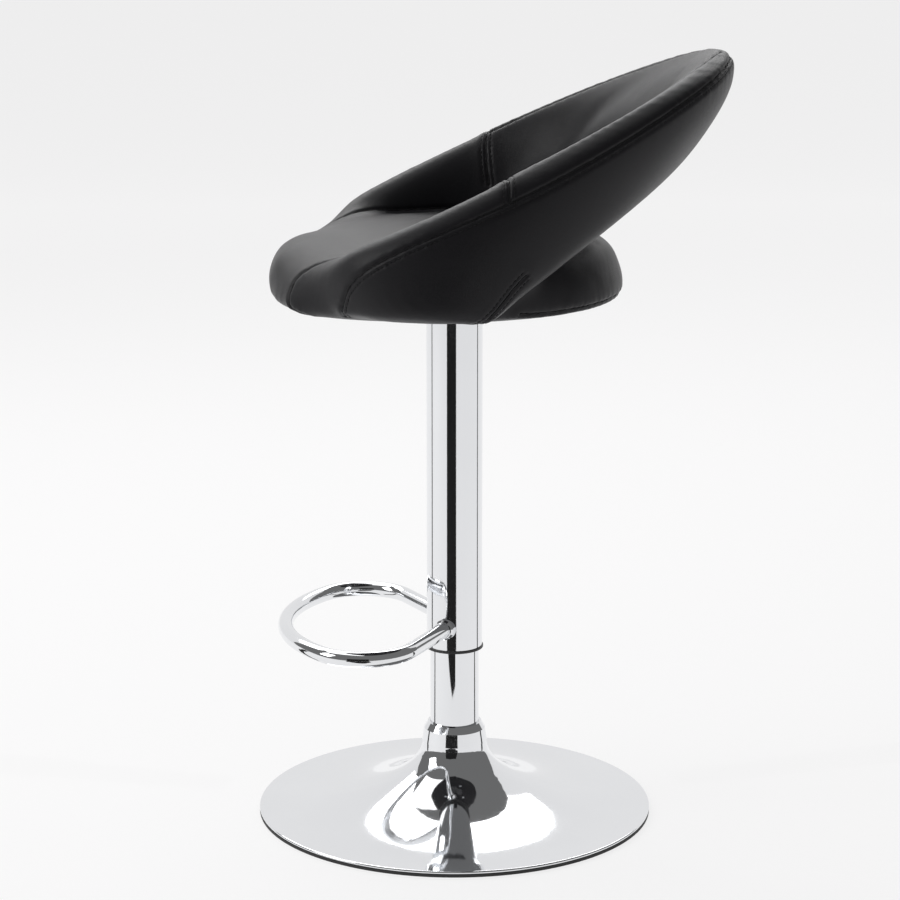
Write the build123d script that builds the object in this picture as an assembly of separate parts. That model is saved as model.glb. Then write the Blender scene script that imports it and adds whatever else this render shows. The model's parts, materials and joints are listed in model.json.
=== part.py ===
"""Height-adjustable stool with a footrest and a wrap-round padded seat.

Units are millimetres. +Z is up, the floor is z = 0, the column's axis is the Z axis,
the seat faces -Y and the sitter's left hand is on +X. The stool is drawn at its lowest
height with the release lever untouched.
"""
import os
from math import acos, atan2, cos, degrees, pi, radians, sin, sqrt

from build123d import *

# ---------------------------------------------------------------- driving dimensions
# clearances, as gaps on the radius or between faces
RUNNING = 0.05
LOOSE = 0.3
HOLE_GAP = 0.4
# how far a cutting tool runs past the face it breaks through
OVERRUN = 1.0
# hexagon sockets in the screw heads
hex_socket_radius = 2.4
hex_socket_depth = 2.0

# pressed base
base_radius = 201.0
base_rim_z = 6.0
base_wall = 1.5
neck_radius = 33.0
neck_z = 73.5
edge_ring_depth = 3.0
edge_ring_width = 8.3
edge_ring_proud = 1.3
edge_ring_gap = 0.1

# ballast and the flange that the column is welded to
ballast_radius = 95.0
ballast_shoulder = 60.0
ballast_z = 6.0
ballast_rim_z = 15.0
flange_z = 30.0
flange_thickness = 4.0
flange_radius = 54.0
base_screw_pcd = 76.0
base_screw_radius = 3.0
base_screw_count = 3
base_screw_head_height = 3.5
base_screw_pocket = 4.0

# collar at the neck
collar_radius = 33.5
collar_shoulder_radius = 31.5
collar_top_radius = 27.5
collar_shoulder_z = 87.0
collar_top_z = 93.5
collar_wall = 1.4

# lower (stand) tube
stand_radius = 25.0
stand_wall = 1.5
stand_foot_z = 16.0
stand_top_z = 460.0
end_plate_z = 20.0
end_plate_thickness = 4.0
bushing_length = 80.0
bushing_rim = 2.0

# thrust bearing under the piston rod
washer_thickness = 2.0
washer_radius = 15.0
ball_radius = 1.9
ball_gap = 4.0
ball_pcd = 20.0
ball_count = 12
cage_thickness = 1.6
cage_margin = 0.5
cage_ball_gap = 0.1

# gas spring
rod_radius = 5.0
rod_neck_radius = 4.0
rod_tail = 7.0
rod_clip_drop = 2.0
rod_clip_thickness = 1.5
rod_clip_bite = 1.0
rod_clip_mouth = 3.0
cylinder_radius = 14.0
cylinder_wall = 2.0
cylinder_foot_gap = 6.0
cylinder_head = 10.0
gland_length = 22.0
piston_length = 14.0
piston_above_gland = 6.0
seal_section = 2.0
taper_length = 30.0
taper_narrowing = 0.75
lift_stroke = 210.0

# sleeve that rises with the seat
sleeve_radius = 28.4
sleeve_wall = 1.2
sleeve_foot_z = 176.0
sleeve_ring_radius = 29.5
sleeve_ring_lip = 3.0
sleeve_ring_spigot = 12.0
sleeve_ring_round = 0.8
sleeve_cap_thickness = 8.0
sleeve_cap_drop = 14.0

# footrest loop
footrest_z = 199.0
footrest_tube_radius = 8.0
footrest_tube_wall = 1.5
footrest_half_width = 128.0
footrest_reach = 173.0
footrest_corner_radius = 52.0
footrest_leg_angle = 27.0
footrest_leg_offset = 3.3
rosette_radius = 10.5
rosette_length = 4.5
rosette_crown = 2.0
rosette_rim = 0.6

# seat mechanism
seat_bottom_z = 540.0
plate_side = 150.0
plate_corner = 14.0
plate_thickness = 2.5
pan_radius = 58.0
pan_slope = 5.0
pan_depth = 19.5
socket_radius = 20.0
socket_length = 30.0
pin_radius = 3.5
pin_bore_gap = 0.1
pin_proud = 5.5
pin_length = 26.0
pin_room = 4.0
pin_chamfer = 0.6
plate_hole_spacing = 120.0
plate_screw_radius = 3.0
plate_screw_head = 6.0
plate_screw_head_height = 3.5
plate_screw_head_round = 2.0
tee_nut_radius = 9.0
tee_nut_flange = 1.5
tee_nut_wall = 1.2
tee_nut_reach = 0.7

# release lever
lever_radius = 4.0
lever_arm = 32.0
lever_drop = 18.5
lever_bend_start = 56.0
lever_bend_end = 86.0
lever_bend_radius = 16.0
lever_length = 178.0
lever_grip_length = 66.0
lever_grip_width = 20.0
lever_grip_height = 11.0
lever_grip_corner = 9.0
lever_grip_round = 3.5
lever_grip_overhang = 30.0
lever_slot_width = 11.0
lever_slot_length = 22.0
lever_slot_drop = 8.0
lever_pin_radius = 2.5
lever_pin_proud = 1.0
bracket_ear = 2.5
bracket_margin = 2.0
bracket_length = 16.0

# seat board and padding
cover_thickness = 1.0
board_thickness = 12.0
board_radius = 156.0
board_hole_radius = 46.0
pad_radius = 178.0
pad_centre_y = -8.5
pad_height = 60.0
pad_top_round = 38.0
pad_bottom_round = 14.0
pad_hole_depth = 6.0

# wrap-round back
back_half_width = 200.0
back_reach = 256.0
back_front_reach = 192.0
back_exponent = 1.9
back_crest_z = 662.0
back_crest_slope = 0.475
back_thickness = 50.0
back_lower_thickness = 40.0
back_lean = 48.0
back_lift = 5.0
back_front_angle = 44.0
back_taper_angle = 34.0
back_tip_share = 0.5
back_tip_inset = 8.0
back_rise_start_y = 28.0
back_rise_slope = 0.68
back_squareness = 2.3
back_stations = 19

# steel frame inside the back
hoop_radius = 7.0
hoop_wall = 1.5
hoop_foot_y = -50.0
hoop_foot_thickness = 3.0
hoop_foot_width = 22.0
hoop_foot_inset = 46.0
hoop_foot_overhang = 0.5
hoop_inset = 8.0
hoop_knee_radius = 16.0
hoop_side_angle = 98.0
hoop_side_radius = 130.0
hoop_rear_angle = 152.0
hoop_rear_radius = 175.0
hoop_corner_reach = 1.10
foot_screw_radius = 2.4
foot_screw_length = 12.0
foot_screw_head_height = 2.0

# zip at the back's lower edge
zip_angle = 152.0
zip_size = (7.0, 4.0, 11.0)

# ---------------------------------------------------------------- derived places
bearing_z = end_plate_z + end_plate_thickness
bearing_top_z = bearing_z + 2 * washer_thickness + ball_gap
cylinder_foot_z = bearing_top_z + cylinder_foot_gap
piston_z = cylinder_foot_z + gland_length + lift_stroke + piston_above_gland
plate_top_z = seat_bottom_z
pan_floor_z = plate_top_z - pan_depth
socket_z = pan_floor_z - socket_length
cylinder_top_z = pan_floor_z - LOOSE
taper_z = cylinder_top_z - taper_length
pin_top_z = pan_floor_z + pin_proud
cylinder_bore = cylinder_radius - cylinder_wall
sleeve_top_z = pan_floor_z - LOOSE
sleeve_bore = sleeve_radius - sleeve_wall
lever_z = pin_top_z + LOOSE + lever_radius
board_z = plate_top_z + cover_thickness
board_top_z = board_z + board_thickness

os.makedirs("parts", exist_ok=True)


# ---------------------------------------------------------------- helpers
def disc(radius, z_low, z_high):
    """A plain disc or rod on the column's axis."""
    return extrude(Pos(0, 0, z_low) * Circle(radius), z_high - z_low)


def ring(radius_in, radius_out, z_low, z_high):
    """A plain ring or tube on the column's axis."""
    return extrude(Pos(0, 0, z_low) * (Circle(radius_out) - Circle(radius_in)), z_high - z_low)


def turned(*points):
    """A solid turned about the column's axis from (radius, height) points."""
    outline = Polyline([(r, 0, z) for r, z in points], close=True)
    return revolve(make_face(outline), Axis.Z)


def spaced(count, pcd, turn=0.0):
    """Positions spaced evenly round a pitch circle."""
    return [Rot(0, 0, turn + 360 * i / count) * Pos(pcd / 2, 0, 0) for i in range(count)]


def corners(spacing):
    """The four corners of a square hole pattern."""
    return [Pos(x * spacing / 2, y * spacing / 2, 0) for x in (-1, 1) for y in (-1, 1)]


def hex_socket(z_low):
    """Six-sided recess for a key, open at its foot."""
    return Pos(0, 0, z_low) * extrude(RegularPolygon(hex_socket_radius, 6), hex_socket_depth)


def both_sides(shape):
    """A shape and its mirror image across the seat's centre plane."""
    return Compound(children=[shape, mirror(shape, Plane.YZ)])


def save(name, shape):
    """Write one sub-part to its own file."""
    export_step(shape, f"parts/{name}.step")


# ---------------------------------------------------------------- base
def base_dome():
    """Pressed trumpet: a quarter ellipse, upright at the neck and level at the rim."""
    half_width = base_radius - neck_radius
    half_height = neck_z - base_rim_z
    centre = (base_radius, neck_z)
    outer = EllipticalCenterArc(centre, half_width, half_height, 180, arc_size=90)
    inner = EllipticalCenterArc(
        centre, half_width + base_wall, half_height + base_wall, 180, arc_size=90
    )
    bead_low = (base_radius, edge_ring_depth)
    bead_radius = (base_rim_z - edge_ring_depth) / 2
    bead_mid = (base_radius + bead_radius, edge_ring_depth + bead_radius)
    bead = ThreePointArc(outer @ 1, bead_mid, bead_low)
    outline = Wire([outer, bead, Line(bead_low, inner @ 1), inner, Line(inner @ 0, outer @ 0)])
    return revolve(Plane.XZ * make_face(outline), Axis.Z)


def base_edge_ring():
    """Rubber ring that the stool stands on, tucked under the rolled rim."""
    outer = base_radius + edge_ring_proud
    inner = outer - edge_ring_width
    lip_z = base_rim_z - base_wall - edge_ring_gap
    return turned(
        (inner, 0),
        (outer, 0),
        (outer, edge_ring_depth),
        (base_radius, edge_ring_depth),
        (base_radius, lip_z),
        (inner, lip_z),
    )


def ballast_weight():
    """Cast iron weight under the dome, with a pocket for each screw head."""
    bore = stand_radius + LOOSE
    body = turned(
        (bore, ballast_z),
        (ballast_radius, ballast_z),
        (ballast_radius, ballast_rim_z),
        (ballast_shoulder, flange_z),
        (bore, flange_z),
    )
    hole = disc(base_screw_radius + HOLE_GAP, 0, flange_z + OVERRUN)
    pocket = disc(2 * base_screw_radius + HOLE_GAP, 0, ballast_z + base_screw_pocket)
    for place in spaced(base_screw_count, base_screw_pcd):
        body -= place * (hole + pocket)
    return body


def hub_flange():
    """Flange welded round the stand tube, tapped for the base screws."""
    body = ring(stand_radius, flange_radius, flange_z, flange_z + flange_thickness)
    for place in spaced(base_screw_count, base_screw_pcd):
        body -= place * disc(base_screw_radius, flange_z, flange_z + flange_thickness)
    return body


def base_screws():
    """Screws that pull the ballast up against the flange."""
    head_z = ballast_z + base_screw_pocket
    foot_z = head_z - base_screw_head_height
    shank = disc(base_screw_radius, head_z, flange_z + flange_thickness)
    head = disc(2 * base_screw_radius, foot_z, head_z)
    screw = shank + head - hex_socket(foot_z)
    return Compound(children=[place * screw for place in spaced(base_screw_count, base_screw_pcd)])


def base_collar():
    """Chromed collar that hides the joint of tube and dome."""
    bore = stand_radius + RUNNING
    top_inner = collar_top_z - collar_wall
    return turned(
        (collar_radius, neck_z),
        (collar_shoulder_radius, collar_shoulder_z),
        (collar_top_radius, collar_top_z),
        (bore, collar_top_z),
        (bore, top_inner),
        (collar_top_radius - collar_wall, top_inner),
        (collar_shoulder_radius - collar_wall, collar_shoulder_z - collar_wall / 2),
        (collar_radius - collar_wall, neck_z),
    )


# ---------------------------------------------------------------- stand tube and bearing
def stand_tube():
    """Lower tube of the column."""
    return ring(stand_radius - stand_wall, stand_radius, stand_foot_z, stand_top_z)


def tube_end_plate():
    """Plate in the tube's foot that carries the thrust bearing."""
    bore = rod_neck_radius + RUNNING
    return ring(bore, stand_radius - stand_wall, end_plate_z, bearing_z)


def guide_bushing():
    """Plastic bushing at the tube's mouth that guides the gas cylinder."""
    bore = cylinder_radius + RUNNING
    spigot = ring(bore, stand_radius - stand_wall, stand_top_z - bushing_length, stand_top_z)
    rim = ring(bore, stand_radius, stand_top_z, stand_top_z + bushing_rim)
    return spigot + rim


def bearing_washer():
    """Lower race, resting on the end plate."""
    return ring(rod_neck_radius + LOOSE, washer_radius, bearing_z, bearing_z + washer_thickness)


def bearing_middle_z():
    """Height of the balls' centres."""
    return bearing_z + washer_thickness + ball_gap / 2


def bearing_cage():
    """Cage that spaces the balls."""
    middle = bearing_middle_z()
    low, high = middle - cage_thickness / 2, middle + cage_thickness / 2
    body = ring(rod_neck_radius + LOOSE, washer_radius - cage_margin, low, high)
    for place in spaced(ball_count, ball_pcd):
        body -= place * disc(ball_radius + cage_ball_gap, low, high)
    return body


def bearing_balls():
    """Balls between the two races."""
    middle = Pos(0, 0, bearing_middle_z())
    places = spaced(ball_count, ball_pcd)
    return Compound(children=[place * middle * Sphere(ball_radius) for place in places])


# ---------------------------------------------------------------- piston rod
def piston_rod():
    """Rod that stands on the bearing and holds the piston."""
    neck = disc(rod_neck_radius, end_plate_z - rod_tail, bearing_top_z)
    groove = clip_ring(rod_neck_radius)
    shaft = disc(rod_radius, bearing_top_z, piston_z + piston_length)
    return neck + shaft - groove


def clip_ring(radius_out):
    """The clip's full ring at its height on the rod."""
    high = end_plate_z - rod_clip_drop
    return ring(rod_neck_radius - rod_clip_bite, radius_out, high - rod_clip_thickness, high)


def rod_clip():
    """Retaining clip under the end plate, open at one side."""
    mouth = Box(2 * rod_radius, rod_clip_mouth, 2 * rod_tail)
    return clip_ring(2 * rod_neck_radius) - Pos(rod_neck_radius, 0, end_plate_z - rod_clip_drop) * mouth


def upper_washer():
    """Upper race, turning with the rod."""
    low = bearing_top_z - washer_thickness
    return ring(rod_neck_radius, washer_radius, low, bearing_top_z)


def piston():
    """Piston on the rod's upper end, with a groove for its seal."""
    outer = cylinder_bore - RUNNING
    middle = piston_z + piston_length / 2
    body = ring(rod_radius, outer, piston_z, piston_z + piston_length)
    return body - ring(outer - seal_section, outer, middle - seal_section, middle + seal_section)


def piston_seal():
    """Rubber seal in the piston's groove."""
    outer = cylinder_bore - RUNNING
    middle = piston_z + piston_length / 2
    return ring(outer - seal_section, outer, middle - seal_section, middle + seal_section)


# ---------------------------------------------------------------- gas cylinder and sleeve
def gas_cylinder():
    """Outer tube of the gas spring, closed by a tapered head."""
    narrow = cylinder_radius - taper_narrowing
    body = disc(cylinder_radius, cylinder_foot_z, taper_z)
    body += turned(
        (0, taper_z),
        (cylinder_radius, taper_z),
        (narrow, cylinder_top_z),
        (0, cylinder_top_z),
    )
    body -= disc(cylinder_bore, cylinder_foot_z, taper_z - cylinder_head)
    body -= disc(pin_radius + pin_bore_gap, pin_top_z - pin_length - pin_room, cylinder_top_z)
    return body


def cylinder_gland():
    """Seal carrier in the cylinder's foot."""
    bore = rod_radius + RUNNING
    return ring(bore, cylinder_bore, cylinder_foot_z, cylinder_foot_z + gland_length)


def release_pin():
    """Pin that opens the gas valve when the lever presses it."""
    pin = disc(pin_radius, pin_top_z - pin_length, pin_top_z)
    return chamfer(pin.edges().group_by(Axis.Z)[-1], pin_chamfer)


def sleeve():
    """Chromed tube that covers the gas cylinder and carries the footrest."""
    return ring(sleeve_bore, sleeve_radius, sleeve_foot_z, sleeve_top_z)


def sleeve_ring():
    """Plastic ring in the sleeve's foot that slides on the stand tube."""
    bore = stand_radius + RUNNING
    lip = ring(bore, sleeve_ring_radius, sleeve_foot_z - sleeve_ring_lip, sleeve_foot_z)
    lip = fillet(lip.edges().filter_by(GeomType.CIRCLE).sort_by(SortBy.RADIUS)[-2:], sleeve_ring_round)
    return lip + ring(bore, sleeve_bore, sleeve_foot_z, sleeve_foot_z + sleeve_ring_spigot)


def sleeve_cap():
    """Ring that centres the sleeve on the cylinder."""
    top = socket_z - sleeve_cap_drop + sleeve_cap_thickness
    return ring(cylinder_radius, sleeve_bore, socket_z - sleeve_cap_drop, top)


# ---------------------------------------------------------------- footrest
def footrest_path():
    """Centre line of the loop: two straight legs, two corners and a wide front."""
    angle = radians(footrest_leg_angle)
    along = Vector(cos(angle), -sin(angle), 0)
    inward = Vector(-sin(angle), -cos(angle), 0)
    radius = footrest_corner_radius
    corner_x = footrest_half_width - radius
    corner_y = footrest_leg_offset + (radius - corner_x * inward.X) / inward.Y
    corner = Vector(corner_x, corner_y, 0)
    depth = corner_y + footrest_reach
    front_radius = (corner_x**2 + depth**2 - radius**2) / (2 * (depth - radius))
    front = Vector(0, front_radius - footrest_reach, 0)
    leg_end = corner - inward * radius
    leg_start = Vector(0, footrest_leg_offset, 0) + along * (sleeve_radius / 2)
    away = (corner - front).normalized()
    corner_end = corner + away * radius
    halfway = ((leg_end - corner).normalized() + away).normalized()
    if halfway.X < 0:
        halfway = -halfway
    corner_mid = corner + halfway * radius
    tip = Vector(0, -footrest_reach, 0)
    edges = [Line(leg_start, leg_end), ThreePointArc(leg_end, corner_mid, corner_end)]
    edges += [ThreePointArc(corner_end, tip, flipped(corner_end))]
    edges += [ThreePointArc(flipped(corner_end), flipped(corner_mid), flipped(leg_end))]
    edges += [Line(flipped(leg_end), flipped(leg_start))]
    return Pos(0, 0, footrest_z) * Wire(edges), leg_start, along


def flipped(point):
    """The point's mirror image across the seat's centre plane."""
    return Vector(-point.X, point.Y, point.Z)


def footrest_loop():
    """Bent chromed tube, coped to the sleeve at both ends."""
    path, _, along = footrest_path()
    section = Circle(footrest_tube_radius) - Circle(footrest_tube_radius - footrest_tube_wall)
    start = path @ 0
    tube = sweep(Plane(origin=start, z_dir=along) * section, path=path)
    return tube - footrest_cope()


def footrest_cope():
    """The sleeve's room, cut out of whatever meets it at the footrest's height."""
    reach = 2 * rosette_radius
    return disc(sleeve_radius, footrest_z - reach, footrest_z + reach)


def footrest_rosettes():
    """Domed rings that finish the tube's two joints with the sleeve."""
    _, start, along = footrest_path()
    reach = sleeve_radius / 2 + rosette_length
    bore = footrest_tube_radius
    outline = Polyline(
        [
            (bore, 0, 0),
            (rosette_radius, 0, 0),
            (rosette_radius, 0, reach),
            (bore + rosette_rim, 0, reach + rosette_crown),
            (bore, 0, reach + rosette_crown),
        ],
        close=True,
    )
    domed = revolve(make_face(outline), Axis.Z)
    origin = Vector(start.X, start.Y, footrest_z)
    placed = Plane(origin=origin, z_dir=along).location * domed
    return both_sides(placed - footrest_cope())


# ---------------------------------------------------------------- seat mechanism
def seat_plate():
    """Pressed plate: a square flange round a shallow pan."""
    outline = RectangleRounded(plate_side, plate_side, plate_corner)
    low = plate_top_z - plate_thickness
    body = extrude(Pos(0, 0, low) * outline, plate_thickness)
    wide = pan_radius + pan_slope
    body += turned((0, pan_floor_z), (pan_radius, pan_floor_z), (wide, low), (0, low))
    inner = pan_radius - plate_thickness
    floor_top = pan_floor_z + plate_thickness
    body -= turned(
        (0, floor_top),
        (inner, floor_top),
        (inner + pan_slope, plate_top_z),
        (0, plate_top_z),
    )
    body -= disc(pin_radius + HOLE_GAP, pan_floor_z, floor_top)
    slot_low = lever_z - lever_slot_drop
    slot = Box(lever_slot_length, lever_slot_width, low - slot_low)
    body -= Pos(-wide, 0, (low + slot_low) / 2) * slot
    for place in corners(plate_hole_spacing):
        body -= place * disc(plate_screw_radius + HOLE_GAP, low, plate_top_z)
    return body


def taper_socket():
    """Socket welded under the pan that grips the cylinder's taper."""
    body = disc(socket_radius, socket_z, pan_floor_z)
    narrow = cylinder_radius - taper_narrowing
    bore = turned(
        (0, socket_z - OVERRUN),
        (cylinder_radius, socket_z - OVERRUN),
        (cylinder_radius, taper_z),
        (narrow, cylinder_top_z),
        (narrow, pan_floor_z),
        (0, pan_floor_z),
    )
    return body - bore


def lever_bracket():
    """Two ears in the pan that hold the lever's pivot."""
    floor_top = pan_floor_z + plate_thickness
    height = lever_z + lever_pin_radius + bracket_margin - floor_top
    gap = lever_radius + LOOSE + bracket_ear / 2
    ear = Pos(-lever_arm, gap, floor_top + height / 2) * Box(bracket_length, bracket_ear, height)
    ear -= lever_pivot(lever_pin_radius)
    return Compound(children=[ear, mirror(ear, Plane.XZ)])


def lever_pivot(radius):
    """A rod on the pivot's axis, long enough to pass both ears."""
    length = 2 * (lever_radius + LOOSE + bracket_ear + lever_pin_proud)
    return Pos(-lever_arm, 0, lever_z) * Rot(90, 0, 0) * Cylinder(radius, length)


def lever_rod():
    """Bent rod: it presses the pin at one end and carries the grip at the other."""
    low = lever_z - lever_drop
    path = FilletPolyline(
        (pin_radius, 0, lever_z),
        (-lever_bend_start, 0, lever_z),
        (-lever_bend_end, 0, low),
        (-lever_length, 0, low),
        radius=lever_bend_radius,
    )
    rod = sweep(Plane(origin=path @ 0, z_dir=path % 0) * Circle(lever_radius), path=path)
    return rod - lever_pivot(lever_pin_radius + RUNNING)


def lever_grip():
    """Flat plastic grip pushed on the rod's outer end."""
    low = lever_z - lever_drop
    plan = RectangleRounded(lever_grip_length, lever_grip_width, lever_grip_corner)
    grip = extrude(plan, lever_grip_height)
    grip = fillet(grip.faces().sort_by(Axis.Z)[-1].edges(), lever_grip_round)
    grip = fillet(grip.faces().sort_by(Axis.Z)[0].edges(), lever_grip_round)
    middle = -lever_length + lever_grip_length / 2 - lever_grip_overhang
    grip = Pos(middle, 0, low - lever_grip_height / 2) * grip
    bore = Pos(-lever_length / 2, 0, low) * Rot(0, 90, 0) * Cylinder(lever_radius, lever_length)
    return grip - bore


def plate_screws():
    """Screws through the plate and board into the tee nuts."""
    low = plate_top_z - plate_thickness
    shank = disc(plate_screw_radius, low, board_top_z)
    head = disc(plate_screw_head, low - plate_screw_head_height, low)
    head = fillet(head.edges().group_by(Axis.Z)[0], plate_screw_head_round)
    screw = shank + head - hex_socket(low - plate_screw_head_height)
    return Compound(children=[place * screw for place in corners(plate_hole_spacing)])


def tee_nuts():
    """Flanged nuts let into the board's top."""
    flange = ring(plate_screw_radius, tee_nut_radius, board_top_z - tee_nut_flange, board_top_z)
    barrel = ring(
        plate_screw_radius,
        plate_screw_radius + tee_nut_wall,
        board_top_z - tee_nut_reach * board_thickness,
        board_top_z - tee_nut_flange,
    )
    nut = flange + barrel
    return Compound(children=[place * nut for place in corners(plate_hole_spacing)])


# ---------------------------------------------------------------- seat board
def board_outline():
    """Plan of the plywood board."""
    return Pos(0, pad_centre_y, 0) * Circle(board_radius)


def dust_cover():
    """Non-woven cloth between the plate and the board."""
    body = extrude(Pos(0, 0, plate_top_z) * board_outline(), cover_thickness)
    body -= disc(board_hole_radius, plate_top_z, board_z)
    for place in corners(plate_hole_spacing):
        body -= place * disc(plate_screw_radius + HOLE_GAP, plate_top_z, board_z)
    return body


def foot_screw_places():
    """Places of the screws that hold one frame foot, on the board's edge."""
    x = board_edge_x() - hoop_foot_inset / 2
    spread = hoop_foot_width / 4
    return [Pos(x, hoop_foot_y + side * spread, 0) for side in (-1, 1)]


def board_edge_x():
    """Half width of the board where the frame's feet stand."""
    return sqrt(board_radius**2 - (hoop_foot_y - pad_centre_y) ** 2)


def seat_board():
    """Plywood board that the plate and the frame are screwed to."""
    body = extrude(Pos(0, 0, board_z) * board_outline(), board_thickness)
    body -= disc(board_hole_radius, board_z, board_top_z)
    for place in corners(plate_hole_spacing):
        body -= place * disc(plate_screw_radius + tee_nut_wall, board_z, board_top_z)
        body -= place * disc(tee_nut_radius, board_top_z - tee_nut_flange, board_top_z)
    pilot = disc(foot_screw_radius, board_top_z - foot_screw_length, board_top_z)
    for place in foot_screw_places():
        hole = place * pilot
        body -= hole
        body -= mirror(hole, Plane.YZ)
    return body


# ---------------------------------------------------------------- back, as stations round the seat
def crest_radius(angle):
    """Distance from the column's axis to the back's centre line at an angle from the front."""
    reach = back_front_reach if cos(angle) > 0 else back_reach
    across = abs(sin(angle)) / back_half_width
    forward = abs(cos(angle)) / reach
    return (across**back_exponent + forward**back_exponent) ** (-1 / back_exponent)


def back_station(angle):
    """Middle, half length, half width and lean of the back's cross-section at an angle."""
    backward = max(0.0, -cos(angle))
    past_tip = degrees(acos(cos(angle))) - back_front_angle
    swell = sin(pi / 2 * min(1.0, past_tip / back_taper_angle))
    top_r = crest_radius(angle) - back_tip_inset * (1 - swell)
    top_z = back_crest_z - back_crest_slope * top_r * cos(angle) - back_thickness / 2
    low_r = top_r - back_lean * backward**1.5
    rise = max(0.0, -low_r * cos(angle) - back_rise_start_y) * back_rise_slope
    low_z = seat_bottom_z + back_lift + rise + back_lower_thickness / 2
    half_width = back_thickness / 2 * (back_tip_share + (1 - back_tip_share) * swell)
    length = sqrt((top_r - low_r) ** 2 + (top_z - low_z) ** 2)
    half_length = (length + (back_thickness + back_lower_thickness) / 2) / 2
    lean = atan2(top_r - low_r, top_z - low_z)
    middle_r = (top_r + low_r) / 2
    middle_z = (top_z + low_z) / 2 + (back_thickness - back_lower_thickness) / 4
    return middle_r, middle_z, half_length, half_width, lean


def back_section(angle):
    """Closed cross-section of the back in the upright plane at an angle from the front.

    It is a rounded oblong made of four matching quarters that meet square to its axes.
    """
    middle_r, middle_z, half_length, half_width, lean = back_station(angle)
    outward = Vector(sin(angle), -cos(angle), 0)
    up = Vector(0, 0, 1)
    middle = outward * middle_r + up * middle_z
    across = (outward * cos(lean) - up * sin(lean)) * half_width
    along = (outward * sin(lean) + up * cos(lean)) * half_length
    power = 2 / back_squareness
    quarters = []
    for start, end in ((across, along), (along, -across), (-across, -along), (-along, across)):
        points = [middle + start]
        for turn in (pi / 6, pi / 3):
            points.append(middle + start * cos(turn) ** power + end * sin(turn) ** power)
        points.append(middle + end)
        quarters.append(Spline(points, tangents=[end, -start]))
    return Wire(quarters)


def pad_space():
    """The room that the seat pad fills, at its full radius."""
    height = board_top_z + pad_height - board_thickness - seat_bottom_z
    return Pos(0, pad_centre_y, seat_bottom_z) * extrude(Circle(pad_radius), height)


def back_blank():
    """The back as one solid, before the frame's room is cut out."""
    start = radians(back_front_angle)
    step = (2 * pi - 2 * start) / (back_stations - 1)
    sections = [back_section(start + i * step) for i in range(back_stations)]
    return Solid.make_loft(sections) - pad_space()


def hoop_solid(radius, wall=None):
    """The steel tube inside the back, standing on its two feet."""
    foot_z = board_top_z + hoop_foot_thickness
    foot = (hoop_foot_x(), hoop_foot_y, foot_z)
    knee = (hoop_foot_x(), hoop_foot_y, hoop_plane_z(hoop_foot_y))
    half = [foot, knee, hoop_corner(hoop_side_angle), hoop_corner(hoop_rear_angle)]
    other = [(-x, y, z) for x, y, z in reversed(half)]
    radii = [hoop_knee_radius, hoop_side_radius, hoop_rear_radius]
    path = FilletPolyline(*half, *other, radius=radii + radii[::-1])
    section = Circle(radius)
    if wall:
        section = section - Circle(radius - wall)
    return sweep(Plane(origin=path @ 0, z_dir=path % 0) * section, path=path)


def hoop_foot_x():
    """How far out the frame's feet stand: under the middle of the back."""
    middle_r = back_station(pi / 2)[0]
    return middle_r - hoop_inset


def hoop_plane_z(y):
    """Height of the tube's sloping plane, which follows the middle of the back."""
    _, side_z, _, _, _ = back_station(pi / 2)
    rear_r, rear_z, _, _, _ = back_station(pi)
    return side_z + (rear_z - side_z) * y / rear_r


def hoop_corner(angle):
    """Where two straight runs of the tube would meet, outside the bend between them."""
    middle_r = back_station(radians(angle))[0]
    r = middle_r * hoop_corner_reach
    x, y = r * sin(radians(angle)), -r * cos(radians(angle))
    return (x, y, hoop_plane_z(y))


def frame_hoop():
    """Bent steel tube that stiffens the back."""
    return hoop_solid(hoop_radius, hoop_wall)


def foot_blank():
    """One steel foot, from over the board out to the tube."""
    inner = board_edge_x() - hoop_foot_inset
    outer = hoop_foot_x() + hoop_radius + hoop_foot_overhang
    middle = Pos((inner + outer) / 2, hoop_foot_y, board_top_z)
    return middle * extrude(Rectangle(outer - inner, hoop_foot_width), hoop_foot_thickness)


def frame_feet():
    """Steel feet that join the tube to the board."""
    foot = foot_blank()
    for place in foot_screw_places():
        foot -= place * disc(foot_screw_radius, board_top_z, board_top_z + hoop_foot_thickness)
    return both_sides(foot)


def foot_screws():
    """Wood screws that hold the feet down."""
    top = board_top_z + hoop_foot_thickness
    shank = disc(foot_screw_radius, board_top_z - foot_screw_length, top)
    head = disc(2 * foot_screw_radius, top, top + foot_screw_head_height)
    pair = [place * (shank + head) for place in foot_screw_places()]
    return both_sides(Compound(children=pair))


def seat_pad():
    """Round foam pad with its cover, moulded over the board and the feet."""
    pad = pad_space()
    top = pad.edges().group_by(Axis.Z)[-1]
    bottom = pad.edges().group_by(Axis.Z)[0]
    pad = fillet(top, pad_top_round)
    pad = fillet(pad.edges().group_by(Axis.Z)[0], pad_bottom_round)
    pad -= extrude(Pos(0, 0, seat_bottom_z) * board_outline(), board_top_z - seat_bottom_z)
    pad -= disc(board_hole_radius, board_top_z, board_top_z + pad_hole_depth)
    foot = foot_blank()
    head_top = board_top_z + hoop_foot_thickness + foot_screw_head_height
    head = disc(2 * foot_screw_radius, board_top_z, head_top)
    heads = [place * head for place in foot_screw_places()]
    for piece in [foot] + heads:
        pad -= piece
        pad -= mirror(piece, Plane.YZ)
    return pad


def back_band():
    """Padded back that rises from the seat's front corners and wraps round behind."""
    band = back_blank() - hoop_solid(hoop_radius)
    foot = foot_blank()
    band -= foot
    band -= mirror(foot, Plane.YZ)
    return band


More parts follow.
